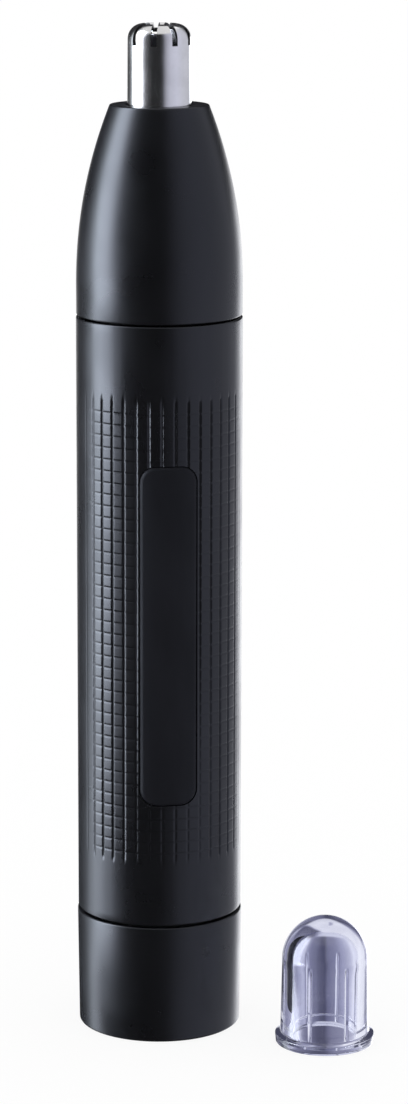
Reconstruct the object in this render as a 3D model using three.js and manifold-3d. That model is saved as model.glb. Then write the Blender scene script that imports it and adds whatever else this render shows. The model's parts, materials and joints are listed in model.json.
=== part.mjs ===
// A battery nose and ear hair trimmer, standing on its base, with its clear tip cap beside it.
// A round grip housing holds a chassis with one AAA cell and a small brushed motor. The motor turns a
// cross-shaped blade inside a slotted steel tube at the tip. Turning the housing on the base switches it
// on. The base pulls off for the cell, and the nose cone pulls off for cleaning.
// Millimetres. +Z runs up the long axis, the origin is the centre of the resting face, and the smooth
// badge plate faces -Y. Names that start with Z_ are heights above the resting face.

import * as THREE from "three";
import { mergeVertices } from "three/addons/utils/BufferGeometryUtils.js";
import Module from "manifold-3d";

const wasm = await Module();
wasm.setup();

// ---- Driving dimensions ----

const BODY_R = 11.08; // outside of the grip housing
const WALL = 1.58; // housing and cone wall
const RUN = 0.15; // usual clearance between a piece and its seat
const EDGE = 0.25; // small edge chamfer

const Z_BASE_TOP = 16;
const Z_HOUSING = 16.3;
const Z_HOUSING_TOP = 97;
const Z_CONE = 97.2;
const Z_CONE_TOP = 124.75;
const Z_TIP = 135.2;

const CONE_R = 10.98; // the nose cone is a hair narrower than the housing
const CONE_TOP_R = 6.5;
const TIP_R = 4.2;
const CAP_POSITION = [20.95, -12.4]; // where the tip cap stands

const SHELL_SEGMENTS = 30;
const SMALL_SEGMENTS = 18;
const DEGREE = Math.PI / 180;

// Cell: a standard AAA, 10.5 across and 44.5 long with its button.
const CELL_R = 5.25;
const CELL_LENGTH = 43.5;
const CELL_BUTTON_R = 1.9;
const CELL_BUTTON = 1;
const Z_CELL = 7;
const Z_CELL_TOP = Z_CELL + CELL_LENGTH;

// Bores and seats that several pieces share.
const HOUSING_BORE = BODY_R - WALL;
const BASE_BORE = 9.6;
const NECK_R = 9.2;
const JOURNAL_R = 7.7;
const Z_NECK_FOOT = 3.3;
const Z_SHOULDER = 8.4;
const CHASSIS_R = HOUSING_BORE - RUN;
const CELL_BORE = CELL_R + 0.35;
const Z_DIVIDER = 52.2;
const Z_DIVIDER_TOP = 54.2;

// Motor: a flat-sided can, 15.5 across and 12 over the flats.
const MOTOR_R = 7.75;
const MOTOR_FLAT = 6;
const CAN_WALL = 0.5;
const Z_MOTOR_SEAT = 56.8;
const Z_CAN = 58;
const Z_CAN_TOP = 78.4;
const Z_CHASSIS_TOP = 78.6;
const MOTOR_SHAFT_R = 0.75;
const SHAFT_BORE = MOTOR_SHAFT_R + 0.07;
const SCREW_Y = 7.75;
const TERMINAL_X = 4.5;

// Drive train in the nose cone.
const BLADE_SHAFT_R = 1.6;
const TUBE_BORE = 3.8;
const Z_RETAINER = 114.4;
const Z_RETAINER_TOP = 116.7;
const Z_FLANGE = 116.95;
const Z_WEB = 118.2;
const Z_COUPLING = 80.7;
const Z_COUPLING_TOP = 90.2;
const Z_TANG = 86.6;

// Seals sit in grooves of this height.
const GROOVE = 1.5;
const Z_NECK_GROOVE = 11.2;
const Z_HEAD_GROOVE = 91.5;

// Switch: the housing turns this far on its ring.
const TWIST_DEGREES = 60;

// The rotors come to rest with the blade cross turned this far from the X axis.
const REST_TURN = -52.1;

// ---- Materials ----

const plastic = (color, roughness) => new THREE.MeshStandardMaterial({ color, roughness, metalness: 0 });
const metal = (color, roughness) => new THREE.MeshStandardMaterial({ color, roughness, metalness: 1 });

const blackShell = plastic(0x1c1c21, 0.38);
const badgeBlack = plastic(0x17181a, 0.25);
const blackInner = plastic(0x26262a, 0.6);
const greyInner = plastic(0x6d7076, 0.55);
const whitePlastic = plastic(0xdcdcd6, 0.45);
const rubber = plastic(0x101010, 0.85);
const clear = new THREE.MeshStandardMaterial({
  color: 0xe6e8f4,
  roughness: 0.05,
  metalness: 0,
  transparent: true,
  opacity: 0.35,
});
const polishedSteel = metal(0xc8c8ce, 0.18);
const bladeSteel = metal(0xb9bbc0, 0.3);
const zincSteel = metal(0xa9abab, 0.4);
const nickel = metal(0xc4bfae, 0.3);
const brass = metal(0xc7a04a, 0.35);
const copper = metal(0xb5651d, 0.35);
const ferrite = plastic(0x3a3836, 0.8);
const cellJacket = plastic(0x2f5f8f, 0.35);

// ---- Solids ----

// The closed surface of a geometry as a solid. A surface that faces inwards is turned round.
function solid(geometry) {
  const bare = geometry.index ? geometry.toNonIndexed() : geometry.clone();
  bare.deleteAttribute("normal");
  bare.deleteAttribute("uv");
  const merged = mergeVertices(bare, 1e-4);
  const corners = merged.index.array;
  const kept = [];
  for (let i = 0; i < corners.length; i += 3) {
    const [a, b, c] = [corners[i], corners[i + 1], corners[i + 2]];
    if (a !== b && b !== c && a !== c) kept.push(a, b, c);
  }
  const build = (triangles) =>
    new wasm.Manifold(
      new wasm.Mesh({
        numProp: 3,
        vertProperties: merged.attributes.position.array,
        triVerts: new Uint32Array(triangles),
      }),
    );
  const made = build(kept);
  return made.volume() > 0 ? made : build(kept.reverse());
}

function geometryOf(made) {
  const { vertProperties, triVerts, numProp } = made.getMesh();
  const geometry = new THREE.BufferGeometry();
  geometry.setAttribute("position", new THREE.InterleavedBufferAttribute(
    new THREE.InterleavedBuffer(vertProperties, numProp), 3, 0));
  geometry.setIndex(new THREE.BufferAttribute(triVerts, 1));
  const flat = geometry.toNonIndexed();
  flat.computeVertexNormals();
  return flat;
}

const join = (...pieces) => pieces.reduce((a, b) => a.add(b));
const cut = (piece, ...tools) => tools.reduce((a, b) => a.subtract(b), piece);

// A profile of [radius, height] points, turned about the Z axis.
function turned(profile, segments = SHELL_SEGMENTS) {
  const points = [...profile, profile[0]].map(([r, z]) => new THREE.Vector2(r, z));
  return solid(new THREE.LatheGeometry(points, segments).rotateX(Math.PI / 2));
}

const ring = (inner, outer, z0, z1, segments) =>
  turned([[inner, z0], [outer, z0], [outer, z1], [inner, z1]], segments);

const disc = (radius, z0, z1, segments) => ring(0, radius, z0, z1, segments);

function box([x0, x1], [y0, y1], [z0, z1]) {
  const made = new THREE.BoxGeometry(x1 - x0, y1 - y0, z1 - z0);
  return solid(made.translate((x0 + x1) / 2, (y0 + y1) / 2, (z0 + z1) / 2));
}

// A flat outline in X and Y, raised from z0 to z1.
function raised(shape, z0, z1, curveSegments = 12) {
  const made = new THREE.ExtrudeGeometry(shape, { depth: z1 - z0, bevelEnabled: false, curveSegments });
  return solid(made.translate(0, 0, z0));
}

// Part of a ring, between two angles in degrees from +X.
function sector(inner, outer, from, to, z0, z1) {
  const shape = new THREE.Shape();
  shape.absarc(0, 0, outer, from * DEGREE, to * DEGREE, false);
  shape.absarc(0, 0, inner, to * DEGREE, from * DEGREE, true);
  shape.closePath();
  return raised(shape, z0, z1, Math.max(2, Math.round(((to - from) * SHELL_SEGMENTS) / 360)));
}

// A round can with two flat sides at y = +-flat.
function flatSided(radius, flat, z0, z1) {
  const side = radius + 1;
  return disc(radius, z0, z1, SHELL_SEGMENTS).intersect(box([-side, side], [-flat, flat], [z0, z1]));
}

// A seal ring whose wire fills the groove from inner to outer.
function seal(inner, outer, z) {
  const made = new THREE.TorusGeometry((inner + outer) / 2, (outer - inner) / 2, 6, SHELL_SEGMENTS);
  return solid(made.translate(0, 0, z));
}

// A spring wire that climbs from z0 to z1 as its coil radius goes from r0 to r1.
class Coil extends THREE.Curve {
  constructor(r0, r1, z0, z1, turns) {
    super();
    Object.assign(this, { r0, r1, z0, z1, turns });
  }

  getPoint(t, target = new THREE.Vector3()) {
    const radius = this.r0 + (this.r1 - this.r0) * t;
    const angle = 2 * Math.PI * this.turns * t;
    const climb = this.z0 + (this.z1 - this.z0) * t;
    return target.set(radius * Math.cos(angle), radius * Math.sin(angle), climb);
  }
}

function spring(wire, r0, r1, z0, z1, turns) {
  const section = new THREE.Shape();
  section.absarc(0, 0, wire, 0, 2 * Math.PI, false);
  const extrudePath = new Coil(r0, r1, z0 + wire, z1 - wire, turns);
  const steps = Math.round(turns * 10);
  return solid(new THREE.ExtrudeGeometry(section, { steps, extrudePath, curveSegments: 3 }));
}

// Copies of one solid at equal angles about the Z axis.
const around = (made, count, first = 0) =>
  Array.from({ length: count }, (_, i) => made.rotate([0, 0, first + (360 / count) * i]));

// ---- Assembly: one group for each set of pieces that moves together ----

const trimmer = new THREE.Group();

function group() {
  const made = new THREE.Group();
  trimmer.add(made);
  return made;
}

const base = group();
const twistRing = group();
const housing = group();
const cell = group();
const motorRotor = group();
const head = group();
const bladeRotor = group();
const tipCap = group();
tipCap.position.set(...CAP_POSITION, 0);
motorRotor.rotation.z = REST_TURN * DEGREE;
bladeRotor.rotation.z = REST_TURN * DEGREE;

function add(parent, name, made, material) {
  const mesh = new THREE.Mesh(geometryOf(made), material);
  mesh.name = name;
  parent.add(mesh);
  return mesh;
}

// ---- Base: the cup that carries the cell's negative contact ----

const BASE_R = 11.18;
const FLOOR = 1.6;
const RIB_R = 8.95;
const RIB_WIDTH = 1.6;
const Z_RIB_TOP = 7;
const RIB_FIRST = 30;
const RIB_COUNT = 3;

function baseCap() {
  const cup = turned([
    [0, 0],
    [10.58, 0],
    [10.88, 0.12],
    [11.03, 0.45],
    [BASE_R, Z_BASE_TOP - EDGE],
    [BASE_R - EDGE, Z_BASE_TOP],
    [BASE_BORE, Z_BASE_TOP],
    [BASE_BORE, FLOOR],
    [0, FLOOR],
  ]);
  const half = RIB_WIDTH / 2;
  const rib = box([RIB_R, BASE_BORE + 0.4], [-half, half], [FLOOR - 0.3, Z_RIB_TOP]);
  return join(cup, ...around(rib, RIB_COUNT, RIB_FIRST));
}

// The raised bump closes the circuit when the housing has turned to "on".
function negativePlate() {
  const z0 = FLOOR + RUN;
  const bumpAt = 180 + TWIST_DEGREES;
  return join(disc(7.2, z0, z0 + 0.25), sector(6.3, 7.1, bumpAt - 6, bumpAt + 6, z0 + 0.1, 2.85));
}

add(base, "base_cap", baseCap(), blackShell);
add(base, "negative_plate", negativePlate(), nickel);
add(base, "negative_spring", spring(0.25, 4.5, 2.4, 2.1, Z_CELL - 0.1, 3.5), nickel);

// ---- Twist ring: keyed to the base, turns on the chassis journal ----

const LUG_R = 8.45;
const LUG_FROM = 85;
const LUG_TO = 95;

function twistRingBody() {
  const z0 = 4.1;
  const z1 = Z_SHOULDER - RUN;
  const bore = JOURNAL_R + RUN;
  const keySlot = box([RIB_R - 0.2, 10], [-1, 1], [z0 - 1, z1 + 1]);
  // At rest the stop lug stands at one end of this slot.
  const stopSlot = sector(bore - 0.5, LUG_R + RUN, LUG_FROM - 2, LUG_TO + TWIST_DEGREES + 2, 7.2, z1 + 1);
  return cut(
    ring(bore, 9.35, z0, z1),
    ...around(keySlot, RIB_COUNT, RIB_FIRST),
    stopSlot,
  );
}

add(twistRing, "twist_ring", twistRingBody(), whitePlastic);

// ---- Housing: the grip tube, its badge plate and everything fixed inside it ----

const SNAP_R = 9.7;
const Z_SNAP = 17.6;
const BADGE_HALF_WIDTH = 3.87;
const BADGE_CORNER = 2.1;
const BADGE_PROUD = 0.14; // its face stands this far out of the grip
const Z_BADGE = 32.9;
const Z_BADGE_TOP = 78.7;
const BADGE_SEAT_R = 10.3;

// The badge outline stands in X and Z, and is cut to the housing's curve by a ring.
function badgeSolid(shrink, innerR, outerR) {
  const w = BADGE_HALF_WIDTH - shrink;
  const bottom = Z_BADGE + shrink;
  const top = Z_BADGE_TOP - shrink;
  const c = BADGE_CORNER;
  const outline = new THREE.Shape();
  outline.moveTo(-w + c, bottom);
  outline.lineTo(w - c, bottom);
  outline.absarc(w - c, bottom + c, c, -Math.PI / 2, 0, false);
  outline.absarc(w - c, top - c, c, 0, Math.PI / 2, false);
  outline.absarc(-w + c, top - c, c, Math.PI / 2, Math.PI, false);
  outline.absarc(-w + c, bottom + c, c, Math.PI, 1.5 * Math.PI, false);
  const slab = raised(outline, 0, BODY_R + 1, 4).rotate([90, 0, 0]);
  return slab.intersect(ring(innerR, outerR, bottom - 1, top + 1));
}

function housingTube() {
  const tube = turned([
    [HOUSING_BORE, Z_HOUSING],
    [BODY_R - EDGE, Z_HOUSING],
    [BODY_R, Z_HOUSING + EDGE],
    [BODY_R, Z_HOUSING_TOP - EDGE],
    [BODY_R - EDGE, Z_HOUSING_TOP],
    [HOUSING_BORE, Z_HOUSING_TOP],
    [HOUSING_BORE, 88.6],
    [8.7, 88],
    [8.7, 87.2],
    [HOUSING_BORE, 86.4],
    [HOUSING_BORE, Z_SNAP + 1.4],
    [SNAP_R + RUN, Z_SNAP + 1.4],
    [SNAP_R + RUN, Z_SNAP - 0.2],
    [HOUSING_BORE, Z_SNAP - 0.2],
  ]);
  return cut(tube, badgeSolid(0, BADGE_SEAT_R, BODY_R + 0.5));
}

function chassis() {
  const spoolR = 7.4; // the moulding is cored back to this radius between its ribs
  const spool = turned([
    [0, Z_NECK_FOOT],
    [JOURNAL_R + 0.3, Z_NECK_FOOT],
    [JOURNAL_R + 0.3, 3.9],
    [JOURNAL_R, 3.9],
    [JOURNAL_R, Z_SHOULDER],
    [NECK_R, Z_SHOULDER],
    [NECK_R, Z_NECK_GROOVE],
    [NECK_R - 0.85, Z_NECK_GROOVE],
    [NECK_R - 0.85, Z_NECK_GROOVE + GROOVE],
    [NECK_R, Z_NECK_GROOVE + GROOVE],
    [NECK_R, Z_HOUSING],
    [CHASSIS_R, Z_HOUSING],
    [CHASSIS_R, Z_SNAP],
    [SNAP_R, Z_SNAP],
    [CHASSIS_R, Z_SNAP + 1.2],
    [CHASSIS_R, 20.5],
    [spoolR, 20.5],
    [spoolR, 50.5],
    [CHASSIS_R, 50.5],
    [CHASSIS_R, Z_CHASSIS_TOP],
    [0, Z_CHASSIS_TOP],
  ]);
  const lug = sector(JOURNAL_R - 0.3, LUG_R, LUG_FROM, LUG_TO, 7.4, Z_SHOULDER + 0.2);
  const cellWindow = box([-3.4, 3.4], [-12, 12], [24, 47]);
  const motorWindow = box([-2.6, 2.6], [-12, 12], [60, 70]);
  const screwHole = disc(0.88, 72.5, Z_CHASSIS_TOP + 1, SMALL_SEGMENTS);
  return cut(
    join(spool, lug),
    disc(CELL_BORE, Z_NECK_FOOT - 1, Z_DIVIDER),
    disc(6.6, Z_DIVIDER_TOP, Z_MOTOR_SEAT + 0.1),
    flatSided(MOTOR_R + RUN, MOTOR_FLAT + RUN, Z_MOTOR_SEAT, Z_CHASSIS_TOP + 1),
    box([-6.8, -5], [-1.5, 1.5], [Z_NECK_FOOT - 1, Z_MOTOR_SEAT + 0.1]),
    box([4.75, 5.45], [-1.4, 1.4], [Z_DIVIDER - 0.1, Z_DIVIDER_TOP + 0.1]),
    cellWindow,
    motorWindow,
    screwHole.translate([0, SCREW_Y, 0]),
    screwHole.translate([0, -SCREW_Y, 0]),
  );
}

function positiveContact() {
  const z0 = Z_DIVIDER - 0.45;
  const plate = disc(4.6, z0, z0 + 0.3, SMALL_SEGMENTS);
  const arm = box([4, 5.25], [-1.2, 1.2], [z0, z0 + 0.3]);
  const tab = box([4.95, 5.25], [-1.2, 1.2], [z0, 56.2]);
  return join(plate, arm, tab);
}

// Runs beside the cell from the switch foot, under the chassis, to the motor.
function negativeStrip() {
  const foot = Z_NECK_FOOT - 0.35;
  return join(
    box([-6.55, -6.25], [-1.25, 1.25], [foot, 56.3]),
    box([-7.35, -6.25], [-1.25, 1.25], [foot, foot + 0.25]),
    box([-6.55, -4.95], [-1.25, 1.25], [56, 56.3]),
  );
}

add(housing, "housing_tube", housingTube(), blackShell);
add(housing, "badge_plate", badgeSolid(0.12, BADGE_SEAT_R + 0.1, BODY_R + BADGE_PROUD), badgeBlack);
add(housing, "chassis", chassis(), greyInner);
add(housing, "neck_seal", seal(NECK_R - 0.79, BASE_BORE - 0.1, Z_NECK_GROOVE + GROOVE / 2), rubber);
add(housing, "positive_contact", positiveContact(), nickel);
add(housing, "negative_strip", negativeStrip(), nickel);

// ---- Motor: what stands still ----

function motorCan() {
  const inside = flatSided(MOTOR_R - CAN_WALL, MOTOR_FLAT - CAN_WALL, Z_CAN - 1, Z_CAN_TOP - CAN_WALL);
  const boss = disc(3, Z_CAN_TOP - 0.1, Z_CAN_TOP + 1.4, SMALL_SEGMENTS);
  const bushBore = disc(2.1, Z_CAN_TOP - 2, Z_CAN_TOP + 2, SMALL_SEGMENTS);
  return cut(join(flatSided(MOTOR_R, MOTOR_FLAT, Z_CAN, Z_CAN_TOP), boss), inside, bushBore);
}

function motorEndCap() {
  const slot = box([TERMINAL_X - 0.3, TERMINAL_X + 0.3], [-1.15, 1.15], [56, 61]);
  return cut(
    join(
      flatSided(MOTOR_R - 0.15, MOTOR_FLAT - 0.15, 56.9, 57.85),
      flatSided(MOTOR_R - CAN_WALL - RUN, MOTOR_FLAT - CAN_WALL - RUN, 57.8, 60),
    ),
    disc(SHAFT_BORE + 0.03, 58, 61, SMALL_SEGMENTS),
    slot,
    slot.translate([-2 * TERMINAL_X, 0, 0]),
  );
}

// A tab outside the motor that ends inside it as the leaf brush.
function brushTerminal(side) {
  const strip = [[4.3, 4.7, 54.9, 60.5], [2.2, 4.7, 60.2, 60.5], [2.2, 2.45, 60.2, 62.3]];
  const made = strip.map(([x0, x1, z0, z1]) => box([x0, x1], [-0.95, 0.95], [z0, z1]));
  return join(...made).rotate([0, 0, side > 0 ? 0 : 180]);
}

function motorClamp() {
  const hole = disc(0.95, 78, 81, SMALL_SEGMENTS);
  return cut(
    disc(CHASSIS_R - 0.05, Z_CHASSIS_TOP + RUN, 80.1),
    disc(3.25, 78, 81, SMALL_SEGMENTS),
    hole.translate([0, SCREW_Y, 0]),
    hole.translate([0, -SCREW_Y, 0]),
  );
}

// A pan-head screw with a cross recess, standing at the origin.
function screw() {
  const body = turned([
    [0, -6.5],
    [0.35, -6.5],
    [0.8, -5.7],
    [0.8, 0],
    [1.5, 0],
    [1.5, 0.5],
    [1.1, 0.85],
    [0, 0.85],
  ], SMALL_SEGMENTS);
  const slot = box([-0.85, 0.85], [-0.17, 0.17], [0.4, 1]);
  return cut(body, slot, slot.rotate([0, 0, 90]));
}

add(housing, "motor_can", motorCan(), zincSteel);
add(housing, "motor_end_cap", motorEndCap(), whitePlastic);
add(housing, "motor_bush", ring(SHAFT_BORE, 2, Z_CAN_TOP - 0.8, Z_CAN_TOP + 1.3, SMALL_SEGMENTS), brass);
for (const [name, turn] of [["magnet_right", 0], ["magnet_left", 180]]) {
  add(housing, name, sector(5.75, 7.1, turn - 44, turn + 44, 62.5, 76), ferrite);
}
add(housing, "brush_terminal_positive", brushTerminal(1), copper);
add(housing, "brush_terminal_negative", brushTerminal(-1), copper);
add(housing, "motor_clamp", motorClamp(), blackInner);
for (const [name, y] of [["motor_screw_front", -SCREW_Y], ["motor_screw_back", SCREW_Y]]) {
  add(housing, name, screw(), zincSteel).position.set(0, y, 80.25);
}

// ---- Motor: what turns ----

const POLES = 3;
const Z_CORE = 64;
const Z_CORE_TOP = 74;

function armatureCore() {
  const arm = box([1.2, 4.8], [-1, 1], [Z_CORE, Z_CORE_TOP]);
  const shoe = sector(4.4, 5.2, -48, 48, Z_CORE, Z_CORE_TOP);
  return cut(
    join(disc(2.1, Z_CORE, Z_CORE_TOP, SMALL_SEGMENTS), ...around(join(arm, shoe), POLES)),
    disc(SHAFT_BORE, Z_CORE - 1, Z_CORE_TOP + 1, SMALL_SEGMENTS),
  );
}

function winding() {
  const outside = box([2.4, 3.7], [-2, 2], [Z_CORE - 1.2, Z_CORE_TOP + 1.2]);
  return cut(outside, box([2, 5], [-1.12, 1.12], [Z_CORE - 0.15, Z_CORE_TOP + 0.15]));
}

function commutator() {
  const gap = box([1.6, 3], [-0.15, 0.15], [60.9, 63]);
  return cut(ring(SHAFT_BORE, 2.05, 60.8, 62.4, SMALL_SEGMENTS), ...around(gap, POLES, 60));
}

function driveCoupling() {
  const body = turned([
    [SHAFT_BORE, Z_COUPLING],
    [2.9, Z_COUPLING],
    [2.9, 84.4],
    [3.4, 85],
    [3.4, Z_COUPLING_TOP - EDGE],
    [3.4 - EDGE, Z_COUPLING_TOP],
    [0, Z_COUPLING_TOP],
    [0, 85.75],
    [SHAFT_BORE, 85.75],
  ], SMALL_SEGMENTS);
  return cut(body, box([-1.75, 1.75], [-0.8, 0.8], [86.2, Z_COUPLING_TOP + 1]));
}

add(motorRotor, "motor_shaft", disc(MOTOR_SHAFT_R, 58.2, 85.6, SMALL_SEGMENTS), polishedSteel);
add(motorRotor, "armature_core", armatureCore(), zincSteel);
for (let i = 0; i < POLES; i++) {
  add(motorRotor, `winding_${i + 1}`, winding(), copper).rotation.z = (i * 2 * Math.PI) / POLES;
}
add(motorRotor, "commutator", commutator(), copper);
add(motorRotor, "drive_coupling", driveCoupling(), whitePlastic);

// ---- Cell ----

function batteryCell() {
  return turned([
    [0, Z_CELL],
    [CELL_R - 0.5, Z_CELL],
    [CELL_R, Z_CELL + 0.4],
    [CELL_R, Z_CELL_TOP - 0.4],
    [CELL_R - 0.5, Z_CELL_TOP],
    [CELL_BUTTON_R, Z_CELL_TOP],
    [CELL_BUTTON_R, Z_CELL_TOP + CELL_BUTTON - 0.2],
    [CELL_BUTTON_R - 0.2, Z_CELL_TOP + CELL_BUTTON],
    [0, Z_CELL_TOP + CELL_BUTTON],
  ]);
}

add(cell, "battery_cell", batteryCell(), cellJacket);

// ---- Head: the nose cone and the still half of the cutter ----

const Z_TAPER = 101; // below this the cone is a plain cylinder
const TAPER_POWER = 2.1;

function coneRadius(z) {
  const share = Math.max(0, (z - Z_TAPER) / (Z_CONE_TOP - Z_TAPER));
  return CONE_R - (CONE_R - CONE_TOP_R) * share ** TAPER_POWER;
}

// Points on the cone's curve, moved inwards by inset, from one height to another.
function coneCurve(from, to, steps, inset) {
  return Array.from({ length: steps + 1 }, (_, i) => {
    const z = from + ((to - from) * i) / steps;
    return [coneRadius(z) - inset, z];
  });
}

function noseCone() {
  const spigotR = HOUSING_BORE - RUN;
  const grooveR = 8.5;
  const rim = 0.35;
  return turned([
    [8.1, 89.5],
    [spigotR, 89.5],
    [spigotR, Z_HEAD_GROOVE],
    [grooveR, Z_HEAD_GROOVE],
    [grooveR, Z_HEAD_GROOVE + GROOVE],
    [spigotR, Z_HEAD_GROOVE + GROOVE],
    [spigotR, Z_CONE],
    [CONE_R - EDGE, Z_CONE],
    [CONE_R, Z_CONE + EDGE],
    ...coneCurve(Z_TAPER, Z_CONE_TOP - rim, 7, 0),
    [CONE_TOP_R - rim, Z_CONE_TOP],
    [TIP_R + 0.2, Z_CONE_TOP],
    [TIP_R + 0.2, Z_WEB],
    [5.9, Z_WEB],
    [5.9, 117],
    [7.5, 117],
    [7.5, Z_RETAINER - 0.2],
    ...coneCurve(Z_RETAINER - 0.2, Z_TAPER, 2, WALL),
    [CONE_R - WALL, 98.8],
    [8.1, 97.6],
  ]);
}

const SLOTS = 9;
const SLOT_WIDTH = 0.8;
const SLOT_FIRST = -107.1;
const Z_SLOT_FOOT = 132.5;
const CORNER_R = 2;
const DISH = 0.6; // the top's middle lies this far below its rounded rim

// A quarter circle of [radius, height] points, from upright to level or back.
function corner(centreR, centreZ, radius, upright, steps = 3) {
  const points = Array.from({ length: steps + 1 }, (_, i) => {
    const angle = (Math.PI / 2) * (i / steps);
    return [centreR + radius * Math.cos(angle), centreZ + radius * Math.sin(angle)];
  });
  return upright ? points : points.reverse();
}

function outerCutter() {
  const skin = 0.4;
  const topR = TIP_R - 0.05;
  const cornerR = topR - CORNER_R;
  const cornerZ = Z_TIP - CORNER_R;
  const cup = turned([
    [TUBE_BORE + 0.05, Z_FLANGE],
    [5.7, Z_FLANGE],
    [5.7, Z_FLANGE + 0.8],
    [TIP_R + 0.05, Z_FLANGE + 0.8],
    ...corner(cornerR, cornerZ, CORNER_R, true),
    [1.55, Z_TIP - DISH],
    [0, Z_TIP - DISH],
    [0, Z_TIP - DISH - skin],
    [1.4, Z_TIP - DISH - skin],
    ...corner(cornerR, cornerZ, CORNER_R - skin, false),
  ], 36);
  const slot = box([1.2, 6], [-SLOT_WIDTH / 2, SLOT_WIDTH / 2], [Z_SLOT_FOOT, Z_TIP + 1]);
  return cut(cup, ...around(slot, SLOTS, SLOT_FIRST));
}

function cutterRetainer() {
  const outlet = sector(2.6, 3.7, -30, 30, Z_RETAINER - 1, Z_RETAINER_TOP + 1);
  return cut(ring(BLADE_SHAFT_R + 0.2, 7.35, Z_RETAINER, Z_RETAINER_TOP), ...around(outlet, 3));
}

add(head, "nose_cone", noseCone(), blackShell);
add(head, "outer_cutter", outerCutter(), polishedSteel);
add(head, "cutter_retainer", cutterRetainer(), blackInner);
add(head, "cutter_bush", ring(BLADE_SHAFT_R + 0.08, TUBE_BORE - 0.1, 123, 125.8, SMALL_SEGMENTS), brass);
add(head, "thrust_washer", ring(BLADE_SHAFT_R + 0.2, 3.4, 116.85, 117.1, SMALL_SEGMENTS), polishedSteel);
add(head, "head_seal", seal(8.56, HOUSING_BORE - 0.06, Z_HEAD_GROOVE + GROOVE / 2), rubber);

// ---- Blade rotor: what turns in the head ----

const Z_BLADE = 127.05;
const Z_BLADE_TOP = 134.6;
const BLADE_R = 3.62;

// One plate of the cross, across X, cut away under the dished middle of the tube's top.
function bladePlate() {
  const shoulder = 1.5;
  const reliefTop = Z_BLADE_TOP - 0.8;
  const outline = new THREE.Shape();
  outline.moveTo(-2, Z_BLADE);
  outline.lineTo(2, Z_BLADE);
  outline.lineTo(2, 128.6);
  outline.lineTo(BLADE_R, 130.4);
  outline.absarc(BLADE_R - shoulder, Z_BLADE_TOP - shoulder, shoulder, 0, Math.PI / 2, false);
  outline.lineTo(1.7, reliefTop);
  outline.lineTo(-1.7, reliefTop);
  outline.absarc(-BLADE_R + shoulder, Z_BLADE_TOP - shoulder, shoulder, Math.PI / 2, Math.PI, false);
  outline.lineTo(-BLADE_R, 130.4);
  outline.lineTo(-2, 128.6);
  outline.closePath();
  return raised(outline, -0.25, 0.25, 4).rotate([90, 0, 0]);
}

function bladeShaft() {
  const round = turned([
    [0, 90.6],
    [BLADE_SHAFT_R, 90.6],
    [BLADE_SHAFT_R, 121.2],
    [3.3, 121.2],
    [3.3, 122.3],
    [BLADE_SHAFT_R, 122.3],
    [BLADE_SHAFT_R, 126.2],
    [2.5, 126.5],
    [2.5, 128.4],
    [0, 128.4],
  ], SMALL_SEGMENTS);
  const tang = box([-1.5, 1.5], [-0.6, 0.6], [Z_TANG, 90.8]);
  const slot = box([-3, 3], [-0.4, 0.4], [126.9, 129]);
  return cut(join(round, tang), slot, slot.rotate([0, 0, 90]));
}

add(bladeRotor, "inner_cutter", join(bladePlate(), bladePlate().rotate([0, 0, 90])), bladeSteel);
add(bladeRotor, "blade_shaft", bladeShaft(), whitePlastic);
add(bladeRotor, "shaft_spring", spring(0.2, 2.5, 2.5, 117.2, 121.1, 4), polishedSteel);

// ---- Tip cap: the clear cover, standing on its rim ----

const CAP_DOME_R = 5.75;
const CAP_HEIGHT = 17.35;
const CAP_BORE = 4.4;
const CAP_BORE_TOP = 15.4;
const CAP_BORE_CORNER = 3.9;
const CAP_RIBS = 6;
const CAP_RIB_FIRST = -123;

function tipCapBody() {
  const shell = turned([
    [4.9, 0],
    [6.5, 0],
    [6.7, 0.2],
    [6.7, 1.2],
    [5.95, 1.6],
    ...corner(0, CAP_HEIGHT - CAP_DOME_R, CAP_DOME_R, true, 6),
    [0, CAP_BORE_TOP],
    ...corner(CAP_BORE - CAP_BORE_CORNER, CAP_BORE_TOP - CAP_BORE_CORNER, CAP_BORE_CORNER, false, 5),
    [CAP_BORE + 0.05, 0.9],
    [4.9, 0.4],
  ]);
  const gripRib = box([CAP_BORE - RUN, CAP_BORE + 0.3], [-0.25, 0.25], [1.2, 11.2]);
  return join(shell, ...around(gripRib, CAP_RIBS, CAP_RIB_FIRST));
}

add(tipCap, "tip_cap", tipCapBody(), clear);

export default trimmer;
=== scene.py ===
"""A battery nose hair trimmer with its clear tip cap beside it, on a white studio floor.

Shapes are worked out in millimetres and turned into metres when a mesh is made. The badge faces -Y.
"""

import json
import math

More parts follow.
